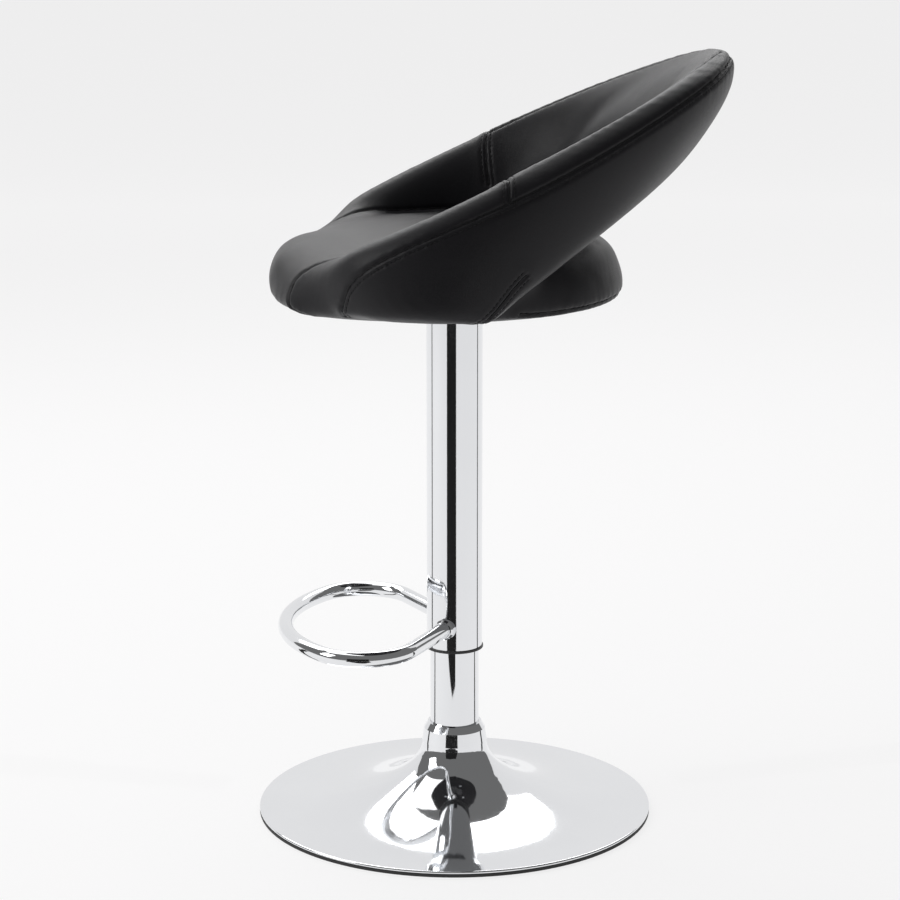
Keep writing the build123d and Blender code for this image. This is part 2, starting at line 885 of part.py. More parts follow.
def zip_slider():
    """Slider of the cover's zip, under the back's lower edge."""
    angle = radians(zip_angle)
    middle_r, middle_z, half_length, _, lean = back_station(angle)
    reach = half_length + zip_size[2] / 4
    r = middle_r - reach * sin(lean)
    z = middle_z - reach * cos(lean)
    body = Box(*zip_size)
    body = fillet(body.edges().filter_by(Axis.Z), zip_size[1] / 3)
    placed = Pos(r * sin(angle), -r * cos(angle), z) * Rot(0, 0, zip_angle) * body
    return placed - back_blank()


# ---------------------------------------------------------------- write every sub-part
for make in (
    base_dome,
    base_edge_ring,
    ballast_weight,
    hub_flange,
    base_screws,
    base_collar,
    stand_tube,
    tube_end_plate,
    guide_bushing,
    bearing_washer,
    bearing_cage,
    bearing_balls,
    piston_rod,
    rod_clip,
    upper_washer,
    piston,
    piston_seal,
    gas_cylinder,
    cylinder_gland,
    release_pin,
    sleeve,
    sleeve_ring,
    sleeve_cap,
    footrest_loop,
    footrest_rosettes,
    seat_plate,
    taper_socket,
    lever_bracket,
    lever_rod,
    lever_grip,
    plate_screws,
    tee_nuts,
    dust_cover,
    seat_board,
    frame_hoop,
    frame_feet,
    foot_screws,
    seat_pad,
    back_band,
    zip_slider,
):
    save(make.__name__, make())
save("lever_pin", lever_pivot(lever_pin_radius))
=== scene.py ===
# %% [markdown]
# # A gas-lift stool with a padded wrap-round seat
# The metalwork comes from the CAD model and keeps its shape: it only needs finishes. The
# upholstery is made here. One black cover is sewn from several panels over foam, so the lesson
# is mostly about turning two plain blanks into one sewn, stuffed skin.
# Everything is in metres. The seat faces -Y and the column stands on the Z axis.

import json
import math

import bmesh
import bpy
import numpy as np
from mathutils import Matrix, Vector
from mathutils.bvhtree import BVHTree
from mathutils.kdtree import KDTree


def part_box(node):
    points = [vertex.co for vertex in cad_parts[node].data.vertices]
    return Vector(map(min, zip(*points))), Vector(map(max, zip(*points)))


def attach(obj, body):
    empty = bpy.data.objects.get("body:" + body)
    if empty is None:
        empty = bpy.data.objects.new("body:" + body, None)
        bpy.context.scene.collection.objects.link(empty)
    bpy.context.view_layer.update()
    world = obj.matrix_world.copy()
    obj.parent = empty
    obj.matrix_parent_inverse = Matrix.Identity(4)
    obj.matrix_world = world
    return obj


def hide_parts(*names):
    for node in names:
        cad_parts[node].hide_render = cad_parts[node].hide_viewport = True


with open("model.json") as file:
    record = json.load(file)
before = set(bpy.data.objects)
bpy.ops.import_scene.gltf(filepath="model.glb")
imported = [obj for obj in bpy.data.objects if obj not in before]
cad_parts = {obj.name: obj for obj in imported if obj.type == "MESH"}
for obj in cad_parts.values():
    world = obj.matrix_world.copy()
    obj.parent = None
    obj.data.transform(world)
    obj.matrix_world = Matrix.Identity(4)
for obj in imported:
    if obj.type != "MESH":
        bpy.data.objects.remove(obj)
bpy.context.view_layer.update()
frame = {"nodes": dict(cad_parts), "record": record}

# %% [markdown]
# ## Camera
# A wide lens close by would make the seat look huge and the base small. A long lens from some
# metres away keeps upright lines nearly upright, so that is what is used. The camera stands at
# the stool's side, a little higher than the seat, and looks a little down. The small shift only
# centres the framing.

# %% Camera
camera_distance = 2.75
camera_height = 1.0155
camera_turn = math.radians(2.0)
camera_pitch = 0.2271
lens_data = bpy.data.cameras.new("camera")
lens_data.lens = 111.53
lens_data.sensor_width = 36.0
lens_data.shift_x = -0.005
camera = bpy.data.objects.new("camera", lens_data)
bpy.context.scene.collection.objects.link(camera)
side = Vector((math.cos(camera_turn), -math.sin(camera_turn), 0))
camera.location = side * camera_distance + Vector((0, 0, camera_height))
aim = -side * math.cos(camera_pitch) - Vector((0, 0, math.sin(camera_pitch)))
camera.rotation_euler = aim.to_track_quat("-Z", "Y").to_euler()
bpy.context.scene.camera = camera
print("camera at", tuple(round(v, 3) for v in camera.location))

# %% [markdown]
# ## Shader maths
# A finish is a small network of nodes. Written as Python sums it stays readable: `Value` wraps
# one output socket, and adding or multiplying two of them adds the Math node for it. `Finish`
# holds one material, and its `node` method adds any other node from its type, its settings and
# what goes into its sockets. Wiring each node by hand would work too, but it takes three lines
# for every sum and hides what the finish does.


# %% Value and Finish
class Value:
    """One output socket that can be used in sums."""

    def __init__(self, finish, socket):
        self.finish = finish
        self.socket = socket

    def maths(self, operation, *terms):
        """Add one Math node that works on the terms."""
        sockets = dict(enumerate(terms))
        return self.finish.node("Math", {"operation": operation}, sockets)

    def __add__(self, other):
        return self.maths("ADD", self, other)

    def __radd__(self, other):
        return self.maths("ADD", other, self)

    def __mul__(self, other):
        return self.maths("MULTIPLY", self, other)

    def __rmul__(self, other):
        return self.maths("MULTIPLY", other, self)


class Finish:
    """One material, its Principled shader and the nodes that feed it."""

    def __init__(self, name, **constants):
        self.material = bpy.data.materials.new(name)
        self.material.use_nodes = True
        self.tree = self.material.node_tree
        self.shader = self.tree.nodes["Principled BSDF"]
        for socket, value in constants.items():
            self.shader.inputs[socket.replace("_", " ")].default_value = value
        self.place = self.node("TexCoord", out="Object")

    def node(self, kind, settings=None, sockets=None, out=0):
        """Add a node: its settings come first, then its sockets. Returns one output."""
        made = self.tree.nodes.new("ShaderNode" + kind)
        for key, value in (settings or {}).items():
            setattr(made, key, value)
        for key, value in (sockets or {}).items():
            self.join(value, made.inputs[key])
        return Value(self, made.outputs[out])

    def join(self, value, socket):
        """Link a Value to the socket, or write a plain number or colour into it."""
        if isinstance(value, Value):
            self.tree.links.new(value.socket, socket)
        else:
            socket.default_value = value

    def feed(self, **inputs):
        """Join values to the shader's sockets, named with _ for a space."""
        for socket, value in inputs.items():
            self.join(value, self.shader.inputs[socket.replace("_", " ")])

    def noise(self, scale, detail=2.0, stretch=(1, 1, 1)):
        """Noise from 0 to 1, about `scale` blobs to a metre."""
        where = self.node("VectorMath", {"operation": "MULTIPLY"}, {0: self.place, 1: stretch})
        return self.node("TexNoise", None, {"Vector": where, "Scale": scale, "Detail": detail})

    def mix(self, amount, low, high):
        """A colour between two colours."""
        settings = {"data_type": "RGBA"}
        return self.node("Mix", settings, {"Factor": amount, 6: low, 7: high}, out=2)

    def bump(self, height, strength, distance):
        """A normal that makes the height look like relief."""
        sockets = {"Height": height, "Strength": strength, "Distance": distance}
        return self.node("Bump", None, sockets)


# %% [markdown]
# ## Chrome
# The base, the column and the footrest are polished steel under mirror chrome. One even
# roughness would do from far away, but a mirror is never perfectly even: wiping leaves a film.
# So the roughness carries a broad noise for the film and a finer one for the wiping, and the
# film also takes a little of the brightness.


# %% Chrome
def chrome():
    """Mirror chrome with a thin, wiped film."""
    made = Finish("chrome", Metallic=1.0, IOR=2.0)
    film = made.noise(scale=9.0, detail=4.0)
    wipe = made.noise(scale=160.0, detail=3.0, stretch=(1, 1, 0.2))
    clean, filmed = (0.86, 0.87, 0.885, 1), (0.80, 0.81, 0.83, 1)
    polish, film_haze, wipe_haze = 0.02, 0.045, 0.02
    made.feed(Base_Color=made.mix(film, clean, filmed))
    made.feed(Roughness=polish + film * film_haze + wipe * wipe_haze)
    return made.material


finishes = {"chrome": chrome()}
print("made", *finishes)

# %% [markdown]
# ## Plain and plated steel
# The gas cylinder, the screws and the bearing races are turned or plated. Turning leaves fine
# rings. A bump image could draw them, but noise squeezed along Z gives the same rings on every
# round part that stands on the Z axis, at any size.


# %% Worked steel
def worked_steel(name, light, dark, rough, ring_scale):
    """Turned or plated steel with fine rings round the Z axis."""
    made = Finish(name, Metallic=1.0)
    rings = made.noise(ring_scale, detail=3.0, stretch=(0.15, 0.15, 1))
    cloud = made.noise(scale=35.0, detail=4.0)
    ring_haze, cloud_haze = 0.12, 0.06
    made.feed(Base_Color=made.mix(cloud, light, dark))
    made.feed(Roughness=rough + rings * ring_haze + cloud * cloud_haze)
    made.feed(Normal=made.bump(rings, strength=0.25, distance=0.00005))
    return made.material


finishes["plain_steel"] = worked_steel(
    "plain_steel", (0.60, 0.60, 0.61, 1), (0.50, 0.50, 0.52, 1), rough=0.18, ring_scale=1800.0
)
finishes["zinc_steel"] = worked_steel(
    "zinc_steel", (0.68, 0.69, 0.71, 1), (0.56, 0.58, 0.62, 1), rough=0.26, ring_scale=900.0
)
print("made", *list(finishes)[-2:])

# %% [markdown]
# ## Painted, cast and moulded parts
# Powder coat is a fine orange peel, cast iron is rough from the sand, and rubber and plastic
# keep the texture of their mould. All of these are a grain in the surface with a soft cloud in
# the colour, so one function makes them, with its own grain and depth for each.


# %% Coated parts
def coated(name, light, dark, rough, grain, depth, **constants):
    """A surface with an even grain and a soft cloud in its colour."""
    made = Finish(name, **constants)
    peel = made.noise(grain, detail=3.0)
    cloud = made.noise(scale=22.0, detail=4.0)
    cloud_haze, peel_haze = 0.1, 0.05
    made.feed(Base_Color=made.mix(cloud, light, dark))
    made.feed(Roughness=rough + cloud * cloud_haze + peel * peel_haze)
    made.feed(Normal=made.bump(peel, strength=0.35, distance=depth))
    return made.material


def grey(shade, blue):
    """An opaque grey with its own blue."""
    return (shade, shade, blue, 1)


for name, light, dark, rough, grain, depth in (
    ("black_rubber", grey(0.02, 0.02), grey(0.035, 0.036), 0.62, 700.0, 0.0002),
    ("black_plastic", grey(0.018, 0.019), grey(0.03, 0.032), 0.34, 900.0, 0.0001),
    ("nylon", (0.80, 0.79, 0.74, 1), (0.72, 0.70, 0.64, 1), 0.42, 500.0, 0.0001),
    ("black_steel", grey(0.02, 0.022), grey(0.035, 0.038), 0.40, 1100.0, 0.0002),
):
    finishes[name] = coated(name, light, dark, rough, grain, depth)
finishes["iron"] = coated(
    "iron", grey(0.07, 0.073), (0.12, 0.115, 0.11, 1), 0.66, 260.0, 0.0007, Metallic=0.6
)
print("made", *list(finishes)[-5:])

# %% [markdown]
# ## Wood and cloth under the seat
# The seat board is birch plywood: thin layers that alternate in colour show at its edge, and
# long grain shows on its faces. A sine of the height gives the layers, and stretched noise the
# grain. The dust cover is non-woven cloth, which is pressed fibres with no weave, so noise
# alone is enough and a weave would be wrong.


# %% Plywood and felt
def plywood():
    """Birch plywood, with layers along Z."""
    made = Finish("plywood", IOR=1.45)
    height = made.node("SeparateXYZ", None, {0: made.place}, out="Z")
    layer_rate, layer_share = 2100.0, 0.35
    layers = height.maths("SINE", height * layer_rate)
    grain = made.noise(scale=38.0, detail=5.0, stretch=(0.12, 1.6, 1))
    pale = made.mix(grain, (0.66, 0.49, 0.31, 1), (0.50, 0.34, 0.19, 1))
    shade = made.mix(layers * layer_share + layer_share, pale, (0.42, 0.27, 0.15, 1))
    made.feed(Base_Color=shade, Roughness=0.55 + grain * 0.2)
    made.feed(Normal=made.bump(grain, strength=0.3, distance=0.0002))
    return made.material


def felt():
    """Black non-woven cloth."""
    made = Finish("felt", Specular_IOR_Level=0.2)
    fibres = made.noise(scale=900.0, detail=6.0, stretch=(1, 0.35, 1))
    made.feed(Base_Color=made.mix(fibres, (0.012, 0.012, 0.013, 1), (0.05, 0.05, 0.053, 1)))
    made.feed(Roughness=0.85 + fibres * 0.1)
    made.feed(Normal=made.bump(fibres, strength=0.6, distance=0.0003))
    return made.material


finishes["plywood"] = plywood()
finishes["felt"] = felt()
print("made", *list(finishes)[-2:])

# %% [markdown]
# ## Leatherette
# The cover is vinyl with an embossed leather grain: little smooth islands about a millimetre
# across, parted by fine valleys. Plain noise has no such islands, but Voronoi's distance to the
# nearest cell edge is just that. A second, coarser noise makes the islands uneven, and a broad
# cloud changes the satin a little where hands and backs have rubbed it. The colour is almost
# black, so the grain is read from the light on it and not from the colour.


# %% Leatherette
def leatherette():
    """Black vinyl with a leather grain."""
    made = Finish("leatherette", IOR=1.5, Specular_IOR_Level=0.2)
    warp_reach, cell_scale = 0.0012, 720.0
    warp = made.noise(scale=300.0, detail=2.0)
    bent = made.node("VectorMath", {"operation": "MULTIPLY"}, {0: warp, 1: (warp_reach,) * 3})
    where = made.node("VectorMath", {"operation": "ADD"}, {0: made.place, 1: bent})
    cells = {"Vector": where, "Scale": cell_scale}
    valleys = made.node("TexVoronoi", {"feature": "DISTANCE_TO_EDGE"}, cells)
    steepness, flat_top = 3.2, 0.8
    islands = valleys.maths("MINIMUM", valleys * steepness, flat_top)
    pebble = made.noise(scale=420.0, detail=3.0)
    rubbed = made.noise(scale=11.0, detail=3.0)
    tint = made.mix(rubbed, (0.0085, 0.0081, 0.0096, 1), (0.0132, 0.0127, 0.0146, 1))
    satin, rubbed_haze, pebble_haze, pebble_height = 0.31, 0.1, 0.08, 0.5
    made.feed(Base_Color=tint, Roughness=satin + rubbed * rubbed_haze + pebble * pebble_haze)
    relief = islands + pebble * pebble_height
    made.feed(Normal=made.bump(relief, strength=0.32, distance=0.00022))
    return made.material


leather = leatherette()
finishes["leatherette"] = leather
print("made", leather.name)

# %% [markdown]
# ## Thread
# The cover is sewn with black bonded thread, a little less shiny than the vinyl. Its twist is
# finer than the eye can part at this size, so a very fine noise is enough.


# %% Thread
def thread():
    """Black bonded thread."""
    made = Finish("thread", Specular_IOR_Level=0.25)
    twist = made.noise(scale=2600.0, detail=2.0, stretch=(1, 1, 0.4))
    made.feed(Base_Color=made.mix(twist, (0.004, 0.004, 0.0045, 1), (0.011, 0.011, 0.012, 1)))
    made.feed(Roughness=0.45 + twist * 0.2)
    made.feed(Normal=made.bump(twist, strength=0.5, distance=0.0002))
    return made.material


sewing = thread()
print("made", sewing.name)

# %% [markdown]
# ## Finishes on the CAD parts
# The record names a slot for every part, and the finishes are kept under the same names. So one
# loop dresses them all, and no part can be forgotten.

# %% Dress the CAD parts
for part in frame["record"]["subparts"]:
    for slot in frame["nodes"][part["node"]].material_slots:
        slot.material = finishes[part["material_slot"]]

# %% [markdown]
# ## The two blanks
# An upholsterer builds the seat from two foams: a round pad, and a band that rises from its
# front corners and wraps round behind. The band is drawn as stations round the column. Each
# station is an angle from the front, and holds a rounded oblong section that leans, rises and
# thins towards the tips. The same formula later places the seams, so `on_band` is the map of
# the whole back: the angle says how far round, and the turn runs from 0 on the outer face over
# 90 at the crest to 180 on the inner face.

# %% Band
seat_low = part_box("seat_pad")[0][2]
half_width = 0.200
front_reach = 0.190
rear_reach = 0.256
plan_exponent = 1.9
crest_height = 0.662
crest_slope = 0.475
band_thick = 0.050
band_thick_low = 0.040
band_lean = 0.048
section_power = 2 / 2.4
band_start = 24
tip_inset = 0.016
tip_from, tip_span = 20, 50
tip_height_share, tip_thick_share = 0.45, 0.4
lean_power = 1.5
low_gap, low_slope, low_slope_from = 0.005, 0.68, 0.028


def ease(x):
    """Smooth step from 0 to 1."""
    x = np.clip(x, 0.0, 1.0)
    return x * x * (3 - 2 * x)


def part_of(share, swell):
    """A share at the tips that grows to 1 where the band has its full section."""
    return share + (1 - share) * swell


def crest_radius(a):
    """How far the crest runs from the column at an angle in radians: an oval, longer behind."""
    out, ahead = abs(math.sin(a)), math.cos(a)
    reach = front_reach if ahead > 0 else rear_reach
    r = (out / half_width) ** plan_exponent + (abs(ahead) / reach) ** plan_exponent
    return r ** (-1 / plan_exponent)


def on_band(angle, turn):
    """Point of the band's surface at an angle from the front and a turn of its section."""
    a, t = math.radians(angle), math.radians(turn)
    ahead = math.cos(a)
    swell = float(ease((180 - abs(180 - angle) - tip_from) / tip_span))
    top_r = crest_radius(a) - tip_inset * (1 - swell)
    top_z = crest_height - crest_slope * top_r * ahead
    top_z -= band_thick / 2 * part_of(tip_height_share, swell)
    low_r = top_r - band_lean * max(0.0, -ahead) ** lean_power
    low_rise = low_slope * max(0.0, -low_r * ahead - low_slope_from)
    low_z = seat_low + low_gap + low_rise + band_thick_low / 2
    lean = math.atan2(top_r - low_r, top_z - low_z)
    ends = (band_thick + band_thick_low) / 2 * part_of(tip_height_share, swell)
    half_long = (math.hypot(top_r - low_r, top_z - low_z) + ends) / 2
    half_thick = band_thick / 2 * part_of(tip_thick_share, swell)
    across = half_thick * math.copysign(abs(math.cos(t)) ** section_power, math.cos(t))
    along = half_long * math.copysign(abs(math.sin(t)) ** section_power, math.sin(t))
    r = (top_r + low_r) / 2 + across * math.cos(lean) + along * math.sin(lean)
    z = (top_z + low_z) / 2 + (band_thick - band_thick_low) / 4
    z += along * math.cos(lean) - across * math.sin(lean)
    return Vector((r * math.sin(a), -r * math.cos(a), z))


def rings_mesh(name, rings):
    """Closed skin over a row of equal rings of points, with a fan at each end."""
    mesh = bpy.data.meshes.new(name)
    build = bmesh.new()
    rows = [[build.verts.new(p) for p in ring] for ring in rings]
    count = len(rows[0])
    for low, high in zip(rows, rows[1:]):
        for i in range(count):
            j = (i + 1) % count
            build.faces.new((low[i], low[j], high[j], high[i]))
    for row in (rows[0], rows[-1]):
        middle = build.verts.new(sum((v.co for v in row), Vector()) / count)
        for i in range(count):
            build.faces.new((row[i], row[(i + 1) % count], middle))
    bmesh.ops.recalc_face_normals(build, faces=build.faces)
    build.to_mesh(mesh)
    build.free()
    made = bpy.data.objects.new(name, mesh)
    bpy.context.scene.collection.objects.link(made)
    return made


band_angles = np.arange(band_start, 360 - band_start + 0.1, 2.0)
band_turns = np.arange(0, 360, 7.5)
band = rings_mesh("band_blank", [[on_band(a, t) for t in band_turns] for a in band_angles])
print("band blank", len(band.data.vertices), "points")

# %% [markdown]
# The pad is a round cushion with a soft front edge and a tighter rear edge. Each ring below is
# one loop of its outline: bottom, side, shoulder and crown. The rounding depends on the angle,
# so the nose rolls over gently where legs rest and the back stays fuller under the band.

# %% Pad
pad_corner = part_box("seat_pad")
pad_radius = (pad_corner[1][0] - pad_corner[0][0]) / 2
pad_middle = (pad_corner[0][1] + pad_corner[1][1]) / 2
pad_top = pad_corner[1][2]
sewing_gap = 0.0005
pad_bottom = seat_low - sewing_gap
corner_square = 0.6
crown_round, crown_round_nose = 0.030, 0.020
bottom_round, bottom_round_nose = 0.010, 0.005
waist_share = 0.55
flat_inset = 1.25
flat_sharpness = 30
round_power = 0.80


def on_pad(angle, turn):
    """Point of the pad: turn runs from -90 at the bottom's middle to 90 at the crown."""
    a, t = math.radians(angle), math.radians(turn)
    front = float(ease(math.cos(a) + 0.2))
    top_round = crown_round + crown_round_nose * front
    low_round = bottom_round + bottom_round_nose * front
    height = pad_top - pad_bottom
    waist = pad_bottom + low_round + (height - low_round - top_round) * waist_share
    if t < 0:
        round_by, reach, level = low_round, waist - pad_bottom, -1
    else:
        round_by, reach, level = top_round, pad_top - waist, 1
    power = 2 + corner_square * float(ease(math.cos(a) / 0.5))
    squarer = abs(math.sin(a)) ** power + abs(math.cos(a)) ** power
    flat = pad_radius - round_by * flat_inset
    edge = pad_radius - sewing_gap - flat
    lift = reach * abs(math.sin(t)) ** round_power
    closing = min(1.0, (1 - abs(math.sin(t))) * flat_sharpness)
    r = flat * closing + edge * math.cos(t) ** round_power
    r *= squarer ** (-1 / power)
    return Vector((r * math.sin(a), pad_middle - r * math.cos(a), waist + level * lift))


pad_turns = list(range(-88, 89, 8))
pad_rings = [[on_pad(a, t) for a in np.arange(0, 360, 4.0)] for t in pad_turns]
pad = rings_mesh("pad_blank", pad_rings)
print("pad blank", len(pad.data.vertices), "points, radius", round(pad_radius, 4))

# %% [markdown]
# ## One skin
# A voxel remesh fuses the two blanks and gives even quads, which cloth likes. It also leaves a
# hard valley where they met. On the real seat the cover runs smoothly over the front corners
# and only creases inside, where the arms meet the seat. So points near both blanks are relaxed
# towards their neighbours, more at the front than behind. The flat bottom is left alone, so
# the cover still hides the seat board.

# %% Fuse
voxel = 0.0051
relax_step = 0.6


def tree_of(thing):
    """Search tree of an object's surface."""
    return BVHTree.FromObject(thing, bpy.context.evaluated_depsgraph_get())


def apply_modifiers(thing):
    """Bake the object's modifiers into its mesh."""
    graph = bpy.context.evaluated_depsgraph_get()
    graph.update()
    mesh = bpy.data.meshes.new_from_object(thing.evaluated_get(graph))
    thing.modifiers.clear()
    thing.data = mesh


def points_of(mesh):
    """The mesh's points as an array."""
    flat = np.zeros(len(mesh.vertices) * 3)
    mesh.vertices.foreach_get("co", flat)
    return flat.reshape(-1, 3)


def normals_of(mesh):
    """The mesh's point normals as an array."""
    flat = np.zeros(len(mesh.vertices) * 3)
    mesh.vertex_normals.foreach_get("vector", flat)
    return flat.reshape(-1, 3)


def place_points(mesh, points):
    """Move the mesh's points."""
    mesh.vertices.foreach_set("co", points.astype(np.float32).ravel())
    mesh.update()


def edges_of(mesh):
    """Pairs of points joined by an edge."""
    flat = np.zeros(len(mesh.edges) * 2, np.int32)
    mesh.edges.foreach_get("vertices", flat)
    return flat.reshape(-1, 2)


def relax(mesh, weight, rounds):
    """Draw every point towards its neighbours' average, by its own weight."""
    points, edges = points_of(mesh), edges_of(mesh)
    ends = np.concatenate([edges[:, 0], edges[:, 1]])
    others = np.concatenate([edges[:, 1], edges[:, 0]])
    count = np.bincount(ends, minlength=len(points))[:, None]
    for _ in range(rounds):
        total = [np.bincount(ends, points[others, k], len(points)) for k in range(3)]
        points += weight[:, None] * (np.stack(total, 1) / count - points) * relax_step
    place_points(mesh, points)


def depth_from(tree, points, limit):
    """Distance of each point to a surface, up to a limit."""
    found = [tree.find_nearest(Vector(p), limit) for p in points]
    return np.array([limit if hit[3] is None else hit[3] for hit in found])


band_tree, pad_tree = tree_of(band), tree_of(pad)
joined = bmesh.new()
joined.from_mesh(band.data)
joined.from_mesh(pad.data)
skin_mesh = bpy.data.meshes.new("upholstery")
joined.to_mesh(skin_mesh)
joined.free()
for blank in (band, pad):
    bpy.data.objects.remove(blank)
skin = bpy.data.objects.new("upholstery", skin_mesh)
bpy.context.scene.collection.objects.link(skin)
remesh = skin.modifiers.new("remesh", "REMESH")
remesh.mode = "VOXEL"
remesh.voxel_size = voxel
apply_modifiers(skin)
where = points_of(skin.data)
print("fused skin", len(where), "points")

# %% Soften the valleys
blend_reach = 0.040
crease_reach, front_extra_reach = 0.014, 0.026
front_start, front_span = 0.055, 0.05
low_edge, low_edge_span = 0.010, 0.020
crease_rounds, front_rounds = 24, 110
last_weight, last_rounds = 0.25, 4
apart = np.maximum(
    depth_from(band_tree, where, blend_reach), depth_from(pad_tree, where, blend_reach)
)
ahead = ease((-where[:, 1] - front_start) / front_span)
reach = crease_reach + front_extra_reach * ahead
above = ease((where[:, 2] - seat_low - low_edge) / low_edge_span)
relax(skin.data, above * ease(1 - apart / reach), crease_rounds)
relax(skin.data, above * ahead * ease(1 - apart / blend_reach), front_rounds)
relax(skin.data, np.full(len(where), last_weight), last_rounds)
print("softened", int((apart < reach).sum()), "points")

# %% [markdown]
# ## Seam lines
# A seam is drawn with a few chalk points and a smooth curve through them. The back's seams are
# given as (angle, turn) on the band, and the seat's seams in the same way on the pad. The seat
# seam runs up round a front corner and on along the crease inside the arm. Every curve is then
# pressed onto the skin. The cover is the same on both sides, so the seams are mirrored.

# %% Chalk the seams
seam_step = 0.0012


def smooth_curve(points, step=seam_step):
    """Even steps along a smooth curve through the points."""
    p = [Vector(q) for q in points]
    p = [2 * p[0] - p[1], *p, 2 * p[-1] - p[-2]]
    line = []
    for a, b, c, d in zip(p, p[1:], p[2:], p[3:]):
        parts = max(2, int((c - b).length / step))
        for i in range(parts):
            t = i / parts
            bend = 2 * a - 5 * b + 4 * c - d
            line.append(0.5 * (2 * b + (c - a) * t + bend * t * t + (3 * b - a - 3 * c + d) * t**3))
    return [*line, p[-2]]


def press_on(line, tree):
    """The curve laid on the surface, with the surface normal at each step."""
    hits = [tree.find_nearest(p) for p in line]
    return [(hit[0], hit[1]) for hit in hits]


def across(curve):
    """The same curve on the other side of the seat."""
    return [Vector((-p.x, p.y, p.z)) for p in curve]


outer_chalk = [
    (56, -84), (57, -40), (60, -5), (66, 14), (77, 31), (90, 38), (109, 43), (128, 53),
    (147, 67), (163, 77), (180, 84),
]
cross_chalk = [(101, 41), (101.5, 62), (102, 90), (102, 125), (103, 160), (104, 178)]
inner_chalk = [(102, 106), (120, 112), (140, 121), (158, 127), (171, 118), (180, 102)]
tuck_chalk = [(94, -86), (99, -46), (103, -31), (106, -25)]
corner_chalk = [(43, -70), (38, -42), (35, -10), (34, 14), (35, 30), (38, 42), (42, 51)]
crease_angles = [52, 60, 68, 77, 88, 98, 106]
crease_gap = 0.001
pad_chalk = [(112, -34), (135, -40), (158, -38), (180, -41)]


def crease_point(angle):
    """Where the band's inner face comes down to the pad's top."""
    turn = next(t for t in range(95, 230) if on_band(angle, t).z < pad_top + crease_gap)
    return on_band(angle, turn)


def drawn(chalk, surface_map, tree, mirrored=False):
    """Seams from chalk points: one on each side, or one run across the middle."""
    near = [surface_map(a, t) for a, t in chalk]
    if mirrored:
        return [smooth_curve([*near, *across(near[:-1])[::-1]])]
    return [smooth_curve(near), smooth_curve(across(near))]


skin_tree = tree_of(skin)
corner = [on_pad(a, t) for a, t in corner_chalk] + [crease_point(a) for a in crease_angles]
seams = {
    "outer": drawn(outer_chalk, on_band, skin_tree, mirrored=True),
    "cross": drawn(cross_chalk, on_band, skin_tree),
    "inner": drawn(inner_chalk, on_band, skin_tree, mirrored=True),
    "tuck": drawn(tuck_chalk, on_band, skin_tree),
    "hem": drawn(pad_chalk, on_pad, skin_tree, mirrored=True),
    "corner": [smooth_curve(corner), smooth_curve(across(corner))],
}
seams = {kind: [press_on(c, skin_tree) for c in curves] for kind, curves in seams.items()}
for kind, curves in seams.items():
    print(kind, len(curves), "seam of", round(len(curves[0]) * seam_step, 3), "m")

# %% [markdown]
# ## Stuffing the cover
# Foam pushes the cover out everywhere except along the seams, where the panels are tied down.
# Blender's Cloth does the same: the skin starts a little small, air pressure swells it with
# gravity off, and the points near a seam are pinned. How far a point may move is capped, so
# the seat keeps its size.

# %% Swell
swell_cap = 0.0040
start_small = 0.0008
after_rounds = 8
cloth_frames = 20
seam_limit = 0.03
shrink_span = 0.02
pin_from, pin_span = 0.003, 0.006
calm_from, calm_span, calm_weight = 0.004, 0.008, 0.8


def seam_distance(points, lines):
    """Distance to the nearest of the lines, up to a limit, and how far along that line."""
    steps = [(p, i * seam_step) for one in lines for i, (p, _) in enumerate(one)]
    tree = KDTree(len(steps))
    for i, (p, _) in enumerate(steps):
        tree.insert(p, i)
    tree.balance()
    found = [tree.find(Vector(p)) for p in points]
    along = np.array([steps[index][1] for _, index, _ in found])
    return np.minimum([gap for _, _, gap in found], seam_limit), along


def all_seams():
    """Every seam line in one list."""
    return [one for curves in seams.values() for one in curves]


def swell_cover(thing):
    """Blow the pinned skin up with cloth pressure and cap the movement."""
    begin = points_of(thing.data)
    gap, _ = seam_distance(begin, all_seams())
    shrink = start_small * ease(gap / shrink_span)
    place_points(thing.data, begin - normals_of(thing.data) * shrink[:, None])
    small = points_of(thing.data)
    pins = thing.vertex_groups.new(name="tied")
    for i, weight in enumerate(1 - ease((gap - pin_from) / pin_span)):
        pins.add([i], float(weight), "REPLACE")
    cloth = thing.modifiers.new("cloth", "CLOTH")
    settings = cloth.settings
    settings.quality = 5
    settings.mass = 0.3
    settings.tension_stiffness = 15
    settings.compression_stiffness = 12
    settings.shear_stiffness = 6
    settings.bending_stiffness = 0.6
    settings.use_pressure = True
    settings.uniform_pressure_force = 4.0
    settings.vertex_group_mass = "tied"
    settings.effector_weights.gravity = 0.0
    cloth.collision_settings.use_collision = False
    cloth.point_cache.frame_end = cloth_frames
    for step in range(1, cloth_frames + 1):
        bpy.context.scene.frame_set(step)
    apply_modifiers(thing)
    moved = points_of(thing.data) - small
    length = np.linalg.norm(moved, axis=1)[:, None]
    moved *= np.minimum(1.0, swell_cap / np.maximum(length, 1e-9))
    place_points(thing.data, small + moved)
    relax(thing.data, calm_weight * ease((gap - calm_from) / calm_span), after_rounds)
    thing.vertex_groups.clear()
    most = round(float(length.max()) * 1000, 1)
    print("swelled by up to", most, "mm, capped at", swell_cap * 1000)


swell_cover(skin)

# %% [markdown]
# ## Sewn valleys
# The pull of the thread makes a narrow valley along every seam, with little gathers beside it
# because the panels are eased in as they are sewn. One subdivision smooths the cover, the
# edges near a seam are split once more so the valley is crisp, and the points are pushed in
# along their normals. The gathers are a wave along the seam that fades a few millimetres away.

